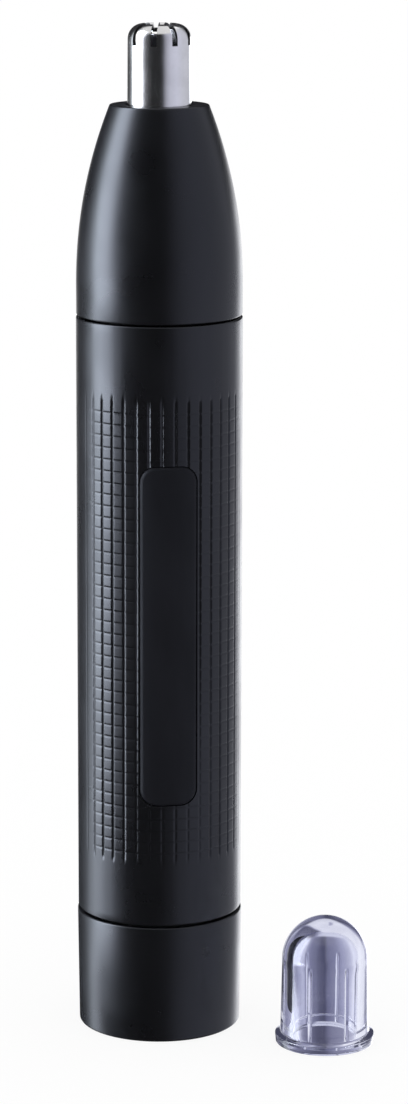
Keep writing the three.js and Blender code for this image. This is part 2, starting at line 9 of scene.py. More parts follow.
import bmesh
import bpy
import numpy as np
from mathutils import Euler, Matrix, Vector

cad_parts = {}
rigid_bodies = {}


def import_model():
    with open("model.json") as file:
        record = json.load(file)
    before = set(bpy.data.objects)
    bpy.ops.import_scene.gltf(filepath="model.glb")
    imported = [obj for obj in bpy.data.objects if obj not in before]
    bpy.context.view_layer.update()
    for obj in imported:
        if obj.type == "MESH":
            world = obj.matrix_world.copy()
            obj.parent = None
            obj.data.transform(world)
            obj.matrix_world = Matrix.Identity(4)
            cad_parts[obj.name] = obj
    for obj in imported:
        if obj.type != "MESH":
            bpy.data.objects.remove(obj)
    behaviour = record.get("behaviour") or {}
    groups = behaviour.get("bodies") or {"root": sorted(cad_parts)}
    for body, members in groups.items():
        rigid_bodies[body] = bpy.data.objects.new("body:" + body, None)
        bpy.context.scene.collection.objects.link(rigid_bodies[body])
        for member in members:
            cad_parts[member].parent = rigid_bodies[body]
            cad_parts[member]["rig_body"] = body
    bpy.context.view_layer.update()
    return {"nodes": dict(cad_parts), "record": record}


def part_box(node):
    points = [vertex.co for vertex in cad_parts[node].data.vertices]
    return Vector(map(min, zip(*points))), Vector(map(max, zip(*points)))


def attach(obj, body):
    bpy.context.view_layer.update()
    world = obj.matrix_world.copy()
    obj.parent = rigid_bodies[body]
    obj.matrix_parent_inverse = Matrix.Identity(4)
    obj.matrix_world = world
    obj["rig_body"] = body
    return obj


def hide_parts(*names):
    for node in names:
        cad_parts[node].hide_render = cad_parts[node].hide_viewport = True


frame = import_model()

MM = 0.001
SLOT_OF = {part["node"]: part["material_slot"] for part in frame["record"]["subparts"]}


# ---- Places read from the frame ----


def extent(node):
    """Half the width of a CAD node along X, its lowest and its highest point."""
    low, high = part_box(node)
    return (high.x - low.x) / 2 / MM, low.z / MM, high.z / MM


def centre_of(node):
    low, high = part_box(node)
    return (low.x + high.x) / 2 / MM, (low.y + high.y) / 2 / MM


BASE_R, _, BASE_TOP = extent("base_cap")
BODY_R, HOUSING_LOW, HOUSING_TOP = extent("housing_tube")
CHASSIS_R, CHASSIS_LOW, CHASSIS_TOP = extent("chassis")
BADGE_HALF, BADGE_LOW, BADGE_HIGH = extent("badge_plate")
RING_R, RING_LOW, RING_TOP = extent("twist_ring")
CELL_R, CELL_LOW, CELL_TOP = extent("battery_cell")
CLAMP_R, CLAMP_LOW, CLAMP_TOP = extent("motor_clamp")
COUPLING_R, COUPLING_LOW, COUPLING_TOP = extent("drive_coupling")
_, SPIGOT_LOW, CONE_TOP = extent("nose_cone")
RETAINER_R, RETAINER_LOW, RETAINER_TOP = extent("cutter_retainer")
FLANGE_R, FLANGE_LOW, TIP_TOP = extent("outer_cutter")
_, BLADE_LOW, BLADE_TOP = extent("inner_cutter")
COLLAR_R, SHAFT_LOW, SHAFT_TOP = extent("blade_shaft")
CAP_R, _, CAP_TOP = extent("tip_cap")
CAP_CENTRE = centre_of("tip_cap")
SCREW_Y = centre_of("motor_screw_back")[1]

# Sizes that boxes don't show.
RUN = 0.15  # usual clearance between a piece and its seat
EDGE = 0.25  # usual rounding of an outer edge
HOUSING_BORE = 9.5
SPOOL_R = HOUSING_BORE - RUN  # what slides into the housing from either end
BASE_BORE = 9.6
JOURNAL_R = 7.7
NECK_R = 9.2
SHOULDER = 8.4
SNAP_LOW, SNAP_TOP = 17.6, 18.8
GROOVE_HEIGHT = 1.5
NECK_GROOVE = 11.2
NECK_GROOVE_R = NECK_R - 0.85
HEAD_GROOVE = 91.5
HEAD_GROOVE_R = 8.5
SEAL_GAP = 0.06
CONE_LOW = HOUSING_TOP + 0.2
TAPER_FROM = 101.0
CONE_R = 10.98
CONE_TOP_R = 6.5
SHAFT_R = 1.6
TUBE_R = 4.2

# Directions, in degrees.
FRONT = -90.0
REST_TURN = -52.1  # how far the blade rotor and its coupling are turned at rest


# ---- Meshes ----


def even_angles(count):
    return np.linspace(0, 2 * math.pi, count, endpoint=False)


ROUND = even_angles(192)


def new_piece(name, vertices, faces):
    mesh = bpy.data.meshes.new(name)
    mesh.from_pydata((np.asarray(vertices, float) * MM).tolist(), [], faces)
    piece = bpy.data.objects.new(name, mesh)
    bpy.context.scene.collection.objects.link(piece)
    return piece


def from_bmesh(name, shape):
    bmesh.ops.recalc_face_normals(shape, faces=shape.faces)
    bmesh.ops.scale(shape, vec=(MM, MM, MM), verts=shape.verts)
    mesh = bpy.data.meshes.new(name)
    shape.to_mesh(mesh)
    shape.free()
    piece = bpy.data.objects.new(name, mesh)
    bpy.context.scene.collection.objects.link(piece)
    return piece


def rounded(corners, steps=4):
    """Turns each (a, b, fillet) corner of a closed outline into an arc. A fillet may be left out."""
    made = []
    for i, corner in enumerate(corners):
        here = np.array(corner[:2], float)
        fillet = corner[2] if len(corner) > 2 else 0
        if not fillet:
            made.append(here)
            continue
        back = np.array(corners[i - 1][:2]) - here
        ahead = np.array(corners[(i + 1) % len(corners)][:2]) - here
        back, ahead = back / np.linalg.norm(back), ahead / np.linalg.norm(ahead)
        half = math.acos(np.clip(back @ ahead, -1, 1)) / 2
        middle = (back + ahead) / np.linalg.norm(back + ahead)
        centre = here + middle * fillet / math.sin(half)
        reach = fillet / math.tan(half)
        start, end = here + back * reach, here + ahead * reach
        for share in np.linspace(0, 1, steps + 1):
            spoke = start + (end - start) * share - centre
            made.append(centre + spoke * fillet / np.linalg.norm(spoke))
    return [tuple(point) for point in made]


def turned(name, outline, angles=ROUND, centre=(0, 0), shift=None):
    """Turns a closed (radius, height) outline, listed anticlockwise, about a vertical axis.

    shift(angle, radius, height) says how far each point moves outwards.
    """
    points = np.array(outline, float)
    angle, radius = np.meshgrid(angles, points[:, 0], indexing="ij")
    height = np.broadcast_to(points[:, 1], radius.shape)
    if shift:
        radius = radius + shift(angle, radius, height)
    x = centre[0] + radius * np.cos(angle)
    y = centre[1] + radius * np.sin(angle)
    vertices = np.stack([x, y, height], -1).reshape(-1, 3)
    index = np.arange(radius.size).reshape(radius.shape)
    on_axis = points[:, 0] < 1e-9
    index[:, on_axis] = index[0, on_axis]
    used, packed = np.unique(index, return_inverse=True)
    index = packed.reshape(index.shape)
    following = np.roll(index, -1, 0)
    quads = np.stack([index, following, np.roll(following, -1, 1), np.roll(index, -1, 1)], -1)
    faces = [list(dict.fromkeys(quad)) for quad in quads.reshape(-1, 4).tolist()]
    return new_piece(name, vertices[used], [face for face in faces if len(face) > 2])


def extruded(name, outline, bottom, top, bevel=0.0, bend=None):
    """A slab on a closed (x, y) outline with rounded edges. bend(x, y, z) may place its points elsewhere."""
    shape = bmesh.new()
    face = shape.faces.new([shape.verts.new((x, y, bottom)) for x, y in outline])
    raised = bmesh.ops.extrude_face_region(shape, geom=[face])["geom"]
    raised_verts = [item for item in raised if isinstance(item, bmesh.types.BMVert)]
    bmesh.ops.translate(shape, vec=(0, 0, top - bottom), verts=raised_verts)
    if bevel:
        sharp = [edge for edge in shape.edges if edge.calc_face_angle() > math.radians(40)]
        bmesh.ops.bevel(shape, geom=sharp, offset=bevel, segments=3, profile=0.5, affect="EDGES")
    if bend:
        for vertex in shape.verts:
            vertex.co = bend(*vertex.co)
    return from_bmesh(name, shape)


def block(name, x, y, z, bevel=0.0):
    outline = [(x[0], y[0]), (x[1], y[0]), (x[1], y[1]), (x[0], y[1])]
    return extruded(name, outline, z[0], z[1], bevel)


def disc(name, radius, bottom, top, fillet=0.0, centre=(0, 0), count=96):
    corners = [(0, bottom), (radius, bottom, fillet), (radius, top, fillet), (0, top)]
    return turned(name, rounded(corners), even_angles(count), centre)


def sector(name, inner, outer, start, end, bottom, top, bevel=0.0):
    """Part of a ring between two directions, in degrees."""
    angles = np.radians(np.linspace(start, end, max(3, round(abs(end - start) / 2))))
    outline = [(outer * math.cos(a), outer * math.sin(a)) for a in angles]
    outline += [(inner * math.cos(a), inner * math.sin(a)) for a in angles[::-1]]
    return extruded(name, outline, bottom, top, bevel)


def seal_ring(name, inner, outer, height):
    wire, middle = (outer - inner) / 2, (outer + inner) / 2
    section = [(middle + wire * math.cos(a), height + wire * math.sin(a)) for a in even_angles(28)]
    return turned(name, section)


def coil(name, wire, start_r, end_r, bottom, top, turns):
    """A spring wire with closed ends that climbs as its coil radius changes."""
    around, sides = round(turns * 40), 14
    share = np.linspace(0, 1, around + 1)[:, None]
    angle = 2 * math.pi * turns * share
    section = even_angles(sides)[None, :]
    radius = start_r + (end_r - start_r) * share + wire * np.cos(section)
    height = bottom + wire + (top - bottom - 2 * wire) * share + wire * np.sin(section)
    vertices = np.stack([radius * np.cos(angle), radius * np.sin(angle), height], -1).reshape(-1, 3)
    index = np.arange((around + 1) * sides).reshape(around + 1, sides)
    ahead = np.roll(index, -1, 1)
    quads = np.stack([index[:-1], index[1:], ahead[1:], ahead[:-1]], -1).reshape(-1, 4).tolist()
    return new_piece(name, vertices, quads + [index[0].tolist(), index[-1].tolist()[::-1]])


def spun(piece, degrees):
    """Turns a new piece about the trimmer's axis."""
    turn = math.radians(degrees)
    cos, sin = math.cos(turn), math.sin(turn)
    for vertex in piece.data.vertices:
        x, y, _ = vertex.co
        vertex.co.x, vertex.co.y = x * cos - y * sin, x * sin + y * cos
    return piece


def moved(piece, x, y, z=0.0):
    for vertex in piece.data.vertices:
        vertex.co.x += x * MM
        vertex.co.y += y * MM
        vertex.co.z += z * MM
    return piece


def around(count, make, first=0.0):
    """Copies of what make() builds, at equal angles about the trimmer's axis."""
    return [spun(make(), first + 360 / count * i) for i in range(count)]


def combined(piece, operation, tools):
    for tool in tools:
        modifier = piece.modifiers.new("combine", "BOOLEAN")
        modifier.operation = operation
        modifier.solver = "MANIFOLD"
        modifier.object = tool
    depsgraph = bpy.context.evaluated_depsgraph_get()
    mesh = bpy.data.meshes.new_from_object(piece.evaluated_get(depsgraph))
    piece.modifiers.clear()
    piece.data = mesh
    for tool in tools:
        bpy.data.objects.remove(tool)
    return piece


def cut(piece, *tools):
    return combined(piece, "DIFFERENCE", tools)


def join(piece, *tools):
    return combined(piece, "UNION", tools)


def stand_in(piece, node, sharp=34.0):
    """Gives a finished mesh the body, the material slot and the place of the CAD node it stands for."""
    piece.name = node + "_finished"
    piece.data.name = piece.name
    piece.data.shade_smooth()
    piece.data.set_sharp_from_angle(angle=math.radians(sharp))
    piece.data.materials.clear()
    piece.data.materials.append(FINISHES[SLOT_OF[node]])
    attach(piece, frame["nodes"][node]["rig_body"])
    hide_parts(node)
    return piece


# ---- Materials ----


def new_tree(name):
    material = bpy.data.materials.new(name)
    material.use_nodes = True
    material.node_tree.nodes.clear()
    return material, material.node_tree


def add_node(tree, kind, inputs=None, **settings):
    """Adds a shader node. An input is a value or another node's output."""
    made = tree.nodes.new("ShaderNode" + kind)
    for name, value in settings.items():
        setattr(made, name, value)
    for name, value in (inputs or {}).items():
        if isinstance(value, bpy.types.NodeSocket):
            tree.links.new(value, made.inputs[name])
        else:
            made.inputs[name].default_value = value
    return made


def calculate(tree, operation, first, second=0.0):
    return add_node(tree, "Math", {0: first, 1: second}, operation=operation).outputs[0]


def total(tree, first, *others):
    for other in others:
        first = calculate(tree, "ADD", first, other)
    return first


def product(tree, first, *others):
    for other in others:
        first = calculate(tree, "MULTIPLY", first, other)
    return first


def component(tree, place, axis):
    """One coordinate of a point or direction, by the name of its axis."""
    return add_node(tree, "SeparateXYZ", {0: place}).outputs["XYZ".index(axis)]


def light_path(tree, kind):
    return add_node(tree, "LightPath").outputs[kind]


def noise(tree, size, stretch=(1, 1, 1), detail=3.0):
    """Noise with features about size millimetres across, longer along the axes with a large stretch."""
    place = add_node(tree, "TexCoord").outputs["Object"]
    scale = [1 / (MM * size * factor) for factor in stretch]
    mapped = add_node(tree, "Mapping", {"Vector": place, "Scale": scale}).outputs[0]
    return add_node(tree, "TexNoise", {"Vector": mapped, "Scale": 1.0, "Detail": detail}).outputs[0]


def ranged(tree, value, low, high, start=0.3, end=0.7):
    """Maps a value to another range with soft ends. Noise usually lies between the default start and end."""
    inputs = {"Value": value, "From Min": start, "From Max": end, "To Min": low, "To Max": high}
    return add_node(tree, "MapRange", inputs, interpolation_type="SMOOTHSTEP").outputs[0]


def straight(tree, value, low, high, start, end):
    """Maps a value from one range to another in a straight line, and holds it outside."""
    inputs = {"Value": value, "From Min": start, "From Max": end, "To Min": low, "To Max": high}
    return add_node(tree, "MapRange", inputs).outputs[0]


def mixed(tree, share, first, second):
    """A colour that goes from the first to the second as the share goes from 0 to 1."""
    made = add_node(tree, "Mix", {0: share}, data_type="RGBA")
    for socket, value in ((made.inputs[6], first), (made.inputs[7], second)):
        if isinstance(value, bpy.types.NodeSocket):
            tree.links.new(value, socket)
        else:
            socket.default_value = (*value, 1.0)
    return made.outputs[2]


def scaled(colour, factor):
    return tuple(channel * factor for channel in colour)


def rubbed_edges(tree, amount):
    """High on convex edges, broken up as handling breaks up wear."""
    pointed = add_node(tree, "NewGeometry").outputs["Pointiness"]
    edge = ranged(tree, pointed, 0, amount, 0.52, 0.62)
    return product(tree, edge, ranged(tree, noise(tree, 1.6), 0.2, 1.0))


def bumped(tree, height, depth):
    return add_node(tree, "Bump", {"Height": height, "Distance": depth * MM}).outputs[0]


def surface(material, tree, inputs):
    shader = add_node(tree, "BsdfPrincipled", inputs)
    add_node(tree, "OutputMaterial", {"Surface": shader.outputs[0]})
    return material


def moulded(name, colour, roughness, specular=0.5, grain=0.14, grain_depth=0.0022, wear=0.6, tint=(1, 1, 1)):
    """Moulded plastic: faint flow marks, an etched grain, handling marks, rubbed edges, and recesses with a
    duller finish and painted shade that weakens their reflections.
    """
    material, tree = new_tree(name)
    flow = noise(tree, 5.0, (1, 1, 3))
    tone = mixed(tree, ranged(tree, flow, 0, 1), scaled(colour, 0.86), scaled(colour, 1.16))
    worn = rubbed_edges(tree, wear)
    tone = mixed(tree, worn, tone, scaled(colour, 2.2))
    handled = ranged(tree, noise(tree, 7.0, detail=5.0), roughness - 0.035, roughness + 0.035)
    gloss = calculate(tree, "SUBTRACT", handled, product(tree, worn, 0.08))
    etched = noise(tree, grain, detail=2.0)
    # Painted shade and a duller finish: reflections are turned down in recesses, which are found from
    # pointiness.
    recess = ranged(tree, add_node(tree, "NewGeometry").outputs["Pointiness"], 0.35, 1.0, 0.44, 0.495)
    return surface(material, tree, {
        "Base Color": tone,
        "Roughness": gloss,
        "Specular IOR Level": product(tree, recess, specular),
        "Specular Tint": (*tint, 1),
        "Normal": bumped(tree, etched, grain_depth),
    })


def cut_faces(tree, dome_foot):
    """1 on slot walls and inside a domed tube, 0 on its outside, whose dome starts at a height."""
    places = add_node(tree, "TexCoord").outputs
    place, normal = places["Object"], places["Normal"]
    spoke = add_node(tree, "VectorMath", {0: place, 1: (1, 1, 0)}, operation="MULTIPLY").outputs[0]
    outward = add_node(tree, "VectorMath", {0: spoke}, operation="NORMALIZE").outputs[0]
    facing = add_node(tree, "VectorMath", {0: outward, 1: normal}, operation="DOT_PRODUCT").outputs["Value"]
    height, upward = component(tree, place, "Z"), component(tree, normal, "Z")
    on_dome = straight(tree, height, 0, 1.6, (dome_foot - 0.1) * MM, dome_foot * MM)
    facing = total(tree, facing, product(tree, upward, on_dome))
    return ranged(tree, facing, 1, 0, 0.1, 0.4)


DRAWN_LINES = (1, 1, 40)
TURNED_LINES = (40, 40, 1)


def metal(name, colour, roughness, stretch=DRAWN_LINES, line_depth=0.0012, dome_foot=None):
    """Metal with fine lines, an uneven polish and brighter edges.

    A domed tube has painted shade on its cut faces and its inside: they are coloured almost black, and they
    are also rougher. Its dome starts at dome_foot.
    """
    material, tree = new_tree(name)
    lines = noise(tree, 0.12, stretch, 2.0)
    cloud = noise(tree, 3.0, detail=4.0)
    tone = mixed(tree, ranged(tree, cloud, 0, 1), scaled(colour, 0.93), scaled(colour, 1.05))
    tone = mixed(tree, rubbed_edges(tree, 0.5), tone, scaled(colour, 1.15))
    polish = ranged(tree, cloud, roughness - 0.03, roughness + 0.03)
    polish = total(tree, polish, ranged(tree, lines, -0.02, 0.04))
    if dome_foot:
        painted_shade_and_dull = cut_faces(tree, dome_foot)
        # Painted shade: slot walls and the tube's inside get a near-black colour. The next line also makes
        # them rougher.
        tone = mixed(tree, painted_shade_and_dull, tone, scaled(colour, 0.08))
        polish = total(tree, polish, product(tree, painted_shade_and_dull, 0.3))
    return surface(material, tree, {
        "Base Color": tone,
        "Metallic": 1.0,
        "Roughness": polish,
        "Normal": bumped(tree, lines, line_depth),
    })


# Painted glow: emission colours that the clear cap shows to rays trapped in its wall, one near the rim and
# one higher up.
RIM_GLOW = (0.46, 0.47, 0.62)
WALL_GLOW = (0.12, 0.125, 0.21)


def clear_plastic(name):
    """Clear moulded plastic with a faint blue cast, slow waviness and light scuffs.

    A ray that is still inside the wall after many bounces would end black. It sees a painted glow instead: an
    emission, brighter near the rim, that stands in for the light it would carry.
    """
    material, tree = new_tree(name)
    scuffs = ranged(tree, noise(tree, 0.5, (1, 1, 6), 6.0), 0.0, 0.05, 0.62, 0.75)
    waves = noise(tree, 2.5, detail=1.0)
    tint = mixed(tree, ranged(tree, waves, 0, 1), (0.90, 0.91, 0.985), (0.94, 0.95, 1.0))
    glass = add_node(tree, "BsdfPrincipled", {
        "Base Color": tint,
        "Roughness": total(tree, scuffs, 0.012),
        "IOR": 1.49,
        "Transmission Weight": 1.0,
        "Normal": bumped(tree, waves, 0.012),
    })
    height = component(tree, add_node(tree, "TexCoord").outputs["Object"], "Z")
    # Painted glow: trapped rays get this emission in place of the light that would reach them.
    painted_glow = mixed(tree, ranged(tree, height, 0, 1, 1.2 * MM, 3 * MM), RIM_GLOW, WALL_GLOW)
    trapped = ranged(tree, light_path(tree, "Ray Depth"), 0, 1, 4.5, 7.5)
    blend = add_node(tree, "MixShader", {
        0: trapped,
        1: glass.outputs[0],
        2: add_node(tree, "Emission", {"Color": painted_glow}).outputs[0],
    })
    add_node(tree, "OutputMaterial", {"Surface": blend.outputs[0]})
    return material


def cell_jacket(name):
    """The printed sleeve of a cell: two plain bands over bare ends."""
    material, tree = new_tree(name)
    height = component(tree, add_node(tree, "TexCoord").outputs["Object"], "Z")
    band_low = CELL_TOP - 12
    sleeve_low, sleeve_top = CELL_LOW + 0.45, CELL_TOP - 1.45

    def above(level):
        return calculate(tree, "GREATER_THAN", height, level * MM)

    cloud = noise(tree, 4.0)
    blue = mixed(tree, ranged(tree, cloud, 0, 1), (0.03, 0.11, 0.26), (0.05, 0.16, 0.34))
    sleeve = mixed(tree, above(band_low), blue, (0.55, 0.56, 0.58))
    bare = total(tree, above(sleeve_top), calculate(tree, "LESS_THAN", height, sleeve_low * MM))
    tone = mixed(tree, bare, sleeve, (0.62, 0.6, 0.55))
    return surface(material, tree, {
        "Base Color": tone,
        "Metallic": 0.85,
        "Roughness": ranged(tree, noise(tree, 2.0, detail=5.0), 0.24, 0.36),
        "Normal": bumped(tree, noise(tree, 0.4), 0.004),
    })


SHELL_TINT = (0.89, 0.93, 1.0)
BADGE_TINT = (0.88, 0.93, 1.0)
FINISHES = {
    "shell_black": moulded("shell_black", (0.0040, 0.0040, 0.0048), 0.30, specular=0.44, tint=SHELL_TINT),
    "badge_black": moulded(
        "badge_black", (0.0066, 0.0068, 0.0090), 0.55, specular=0.15, grain_depth=0.003, tint=BADGE_TINT
    ),
    "inner_black": moulded("inner_black", (0.012, 0.012, 0.013), 0.55, grain=0.2),
    "inner_grey": moulded("inner_grey", (0.15, 0.16, 0.18), 0.5, wear=0.2),
    "inner_white": moulded("inner_white", (0.66, 0.66, 0.62), 0.45, wear=0.1),
    "seal_rubber": moulded("seal_rubber", (0.010, 0.010, 0.010), 0.62, specular=0.35, grain=0.3, wear=0.2),
    "clear_plastic": clear_plastic("clear_plastic"),
    "tip_steel": metal("tip_steel", (0.76, 0.755, 0.735), 0.13, dome_foot=133.2),
    "blade_steel": metal("blade_steel", (0.56, 0.56, 0.58), 0.26),
    "zinc_steel": metal("zinc_steel", (0.46, 0.47, 0.48), 0.34, TURNED_LINES),
    "nickel": metal("nickel", (0.60, 0.57, 0.50), 0.24, TURNED_LINES),
    "brass": metal("brass", (0.62, 0.42, 0.14), 0.26, TURNED_LINES),
    "copper": metal("copper", (0.56, 0.22, 0.09), 0.28, TURNED_LINES, 0.02),
    "ferrite": moulded(
        "ferrite", (0.045, 0.043, 0.041), 0.75, specular=0.3, grain=0.25, grain_depth=0.02
    ),
    "cell_jacket": cell_jacket("cell_jacket"),
}


# ---- Base ----

BASE_FLOOR = 1.6
KEY_RIBS = 3
KEY_RIB_FIRST = 30.0
KEY_RIB_R = 8.95
KEY_RIB_HALF = 0.8
KEY_RIB_TOP = 7.0
KEY_PLAY = 0.2
TWIST = 60.0  # degrees between off and on
LUG_R = 8.45
LUG_LOW = 7.4
LUG_FROM, LUG_TO = 85.0, 95.0  # the stop lug's two sides, in degrees


def base_cap():
    cup = turned("base", rounded([
        (0, 0),
        (BASE_R - 0.2, 0, 0.35),
        (BASE_R, BASE_TOP, EDGE),
        (BASE_BORE, BASE_TOP, 0.15),
        (BASE_BORE, BASE_FLOOR, 0.4),
        (0, BASE_FLOOR),
    ]), even_angles(240))

    def rib():
        x, y, z = (KEY_RIB_R, BASE_BORE + 0.3), (-KEY_RIB_HALF, KEY_RIB_HALF), (BASE_FLOOR - 0.3, KEY_RIB_TOP)
        return block("rib", x, y, z, 0.12)

    return join(cup, *around(KEY_RIBS, rib, KEY_RIB_FIRST))


def negative_plate():
    """The contact disc, with the bump that the housing's strip meets when it is twisted on."""
    plate_low, plate_top = BASE_FLOOR + RUN, BASE_FLOOR + 0.4
    plate = disc("plate", 7.2, plate_low, plate_top, 0.08)
    return join(plate, sector("bump", 6.3, 7.1, 234, 246, plate_top - 0.15, plate_top + 0.85, 0.1))


def twist_ring():
    bore, over = JOURNAL_R + RUN, RING_TOP + 1
    ring = turned("ring", rounded([
        (bore, RING_LOW, 0.15),
        (RING_R, RING_LOW, 0.2),
        (RING_R, RING_TOP, 0.2),
        (bore, RING_TOP, 0.15),
    ]))

    def key_slot():
        half = KEY_RIB_HALF + KEY_PLAY
        return block("slot", (KEY_RIB_R - KEY_PLAY, RING_R + 1), (-half, half), (RING_LOW - 1, over))

    stop_slot = sector("stop", bore - 0.5, LUG_R + RUN, LUG_FROM - 2, LUG_TO + TWIST + 2, LUG_LOW - 0.2, over)
    return cut(ring, *around(KEY_RIBS, key_slot, KEY_RIB_FIRST), stop_slot)


stand_in(base_cap(), "base_cap")
stand_in(negative_plate(), "negative_plate")
stand_in(coil("spring", 0.25, 4.5, 2.4, 2.1, CELL_LOW - 0.1, 3.5), "negative_spring")
stand_in(twist_ring(), "twist_ring")


# ---- Housing, its grip and its badge ----

GRIP_LOW = 25.4
GRIP_HIGH = 87.0
ROW_PITCH = 1.555
COLUMN_PITCH = 9.0  # degrees between upright grooves
GRIP_REACH = 67.5  # degrees from the middle of the panel to its outer groove
UPRIGHT_HALF = 0.27
UPRIGHT_DEPTH = 0.15
LEVEL_HALF = 0.2
LEVEL_DEPTH = 0.07
GROOVE_STEPS = np.array([-1.3, -1.0, -0.72, -0.46, -0.2, 0.2, 0.46, 0.72, 1.0, 1.3])
ROW_STEPS = np.array([-1.3, -0.9, -0.3, 0.3, 0.9, 1.3])
BADGE_CORNER = 2.1
BADGE_PROUD = 0.14
BADGE_SEAT_R = 10.3
SNAP_GROOVE_R = 9.85
RIDGE_R = 8.7
RIDGE_LOW, RIDGE_TOP = 86.4, 88.6  # a ridge in the bore between the motor and the head

PANEL_LINES = np.arange(-GRIP_REACH, GRIP_REACH + 1, COLUMN_PITCH)
UPRIGHT_LINES = np.radians(np.concatenate([FRONT + PANEL_LINES, FRONT + 180 + PANEL_LINES]))
LEVEL_LINES = np.arange(GRIP_HIGH - ROW_PITCH, GRIP_LOW + 0.4, -ROW_PITCH)


def away_from_nearest(values, lines):
    return np.min(np.abs(values[..., None] - lines), -1)


def turn_from_nearest(angle, lines):
    """The turn between each angle and the nearest of some directions, in radians."""
    return np.min(np.abs((angle[..., None] - lines + math.pi) % (2 * math.pi) - math.pi), -1)


def gathered(fine, coarse, gap):
    """Fine values, with the coarse ones that stand at least a gap away from them."""
    fine = np.unique(np.round(fine, 6))
    clear = [value for value in coarse if np.min(np.abs(fine - value)) > gap]
    return np.sort(np.concatenate([fine, clear]))


def groove(distance, half_width, depth):
    """Depth of a groove with rolled sides, at a distance from its middle."""
    share = np.clip(np.abs(distance) / half_width, 0, 1)
    return depth * (0.5 + 0.5 * np.cos(math.pi * share))


def grip(angle, radius, height):
    """The raised pads of the grip are what is left between upright and level grooves.

    Both fade out towards the sides. The upright ones are also shallower where the middle is worn low down.
    """
    upright = groove(turn_from_nearest(angle, UPRIGHT_LINES) * BODY_R, UPRIGHT_HALF, UPRIGHT_DEPTH)
    level = groove(away_from_nearest(height, LEVEL_LINES), LEVEL_HALF, LEVEL_DEPTH)
    from_middle = np.abs((np.degrees(angle) - FRONT + 90) % 180 - 90)
    level = level * np.interp(from_middle, [57, 61, GRIP_REACH - 0.1, GRIP_REACH], [1, 0.25, 0.12, 0])
    upright = upright * np.interp(from_middle, [50, 58.5, GRIP_REACH], [1, 0.6, 0.12])
    worn = np.interp(from_middle, [20, 40], [1, 0]) * np.interp(height, [35, 60], [1, 0])
    upright = upright * (1 - 0.65 * worn)
    inside = (height > GRIP_LOW - 0.01) & (height < GRIP_HIGH + 0.01) & (radius > BODY_R - 0.01)
    return np.where(inside, -np.maximum(upright, level), 0)


def housing_angles():
    steps = GROOVE_STEPS * UPRIGHT_HALF / BODY_R
    fine = ((UPRIGHT_LINES[:, None] + steps).ravel()) % (2 * math.pi)
    return gathered(fine, even_angles(160), math.radians(1.3))


def badge_slab(name, margin, levels):
    """The badge outline wrapped on the housing. Levels are (inset, radius) pairs, from seat to face."""

    def ring_points(inset):
        half, corner = BADGE_HALF - inset, BADGE_CORNER - inset
        low, high = BADGE_LOW + inset, BADGE_HIGH - inset
        places = [(-half, low), (half, low), (half, high), (-half, high)]
        return rounded([(*place, corner) for place in places], 14)

    shape = bmesh.new()
    rings = [
        [shape.verts.new((x, z, radius)) for x, z in ring_points(margin + inset)] for inset, radius in levels
    ]
    for below, above in zip(rings, rings[1:]):
        for i in range(len(below)):
            shape.faces.new([below[i - 1], below[i], above[i], above[i - 1]])
    shape.faces.new(rings[0][::-1])
    shape.faces.new(rings[-1])
    for x in np.linspace(-BADGE_HALF, BADGE_HALF, 28)[1:-1]:
        everything = shape.verts[:] + shape.edges[:] + shape.faces[:]
        bmesh.ops.bisect_plane(shape, geom=everything, plane_co=(x, 0, 0), plane_no=(1, 0, 0))
    for vertex in shape.verts:
        x, z, radius = vertex.co
        vertex.co = x, -math.sqrt(radius ** 2 - x ** 2), z
    return from_bmesh(name, shape)


def housing_tube():
    fine = (LEVEL_LINES[:, None] + ROW_STEPS * LEVEL_HALF).ravel()
    ends = [GRIP_LOW - 0.3, GRIP_LOW, GRIP_HIGH, GRIP_HIGH + 0.3]
    rows = gathered(np.concatenate([fine, ends]), np.linspace(HOUSING_LOW + 1, HOUSING_TOP - 1, 110), 0.4)
    inner = BODY_R - 1
    low_edge = rounded([(inner, HOUSING_LOW), (BODY_R, HOUSING_LOW, EDGE), (BODY_R, HOUSING_LOW + 1)])[1:-1]
    high_edge = rounded([(BODY_R, HOUSING_TOP - 1), (BODY_R, HOUSING_TOP, EDGE), (inner, HOUSING_TOP)])[1:-1]
    snap_low, snap_top = SNAP_LOW - 0.2, SNAP_TOP + 0.2
    tube = turned("housing", [
        (HOUSING_BORE, HOUSING_LOW),
        *low_edge,
        *[(BODY_R, row) for row in rows],
        *high_edge,
        (HOUSING_BORE, HOUSING_TOP),
        (HOUSING_BORE, RIDGE_TOP),
        (RIDGE_R, RIDGE_TOP - 0.6),
        (RIDGE_R, RIDGE_LOW + 0.8),
        (HOUSING_BORE, RIDGE_LOW),
        (HOUSING_BORE, snap_top),
        (SNAP_GROOVE_R, snap_top),
        (SNAP_GROOVE_R, snap_low),
        (HOUSING_BORE, snap_low),
    ], housing_angles(), shift=grip)
    return cut(tube, badge_slab("pocket", -0.12, [(0, BADGE_SEAT_R), (0, BODY_R + 0.5)]))


stand_in(housing_tube(), "housing_tube", 50.0)
BADGE_LEVELS = [
    (0, BADGE_SEAT_R + 0.1),
    (0, BODY_R - 0.10),
    (0.04, BODY_R - 0.05),
    (0.34, BODY_R + BADGE_PROUD - 0.025),
    (0.46, BODY_R + BADGE_PROUD),
]
stand_in(badge_slab("badge", 0.0, BADGE_LEVELS), "badge_plate")


# ---- Chassis, seals and motor mount ----

CELL_BORE = 5.6
WAIST_R = 7.4
WAIST_LOW, WAIST_TOP = 20.5, 50.5
DIVIDER_LOW, DIVIDER_TOP = 52.2, 54.2
MOTOR_SEAT = 56.8
MOTOR_SEAT_R = 7.9
MOTOR_SEAT_FLAT = 6.15
SCREW_HOLE_LOW = 72.5
SCREW_HOLE_R = 0.88


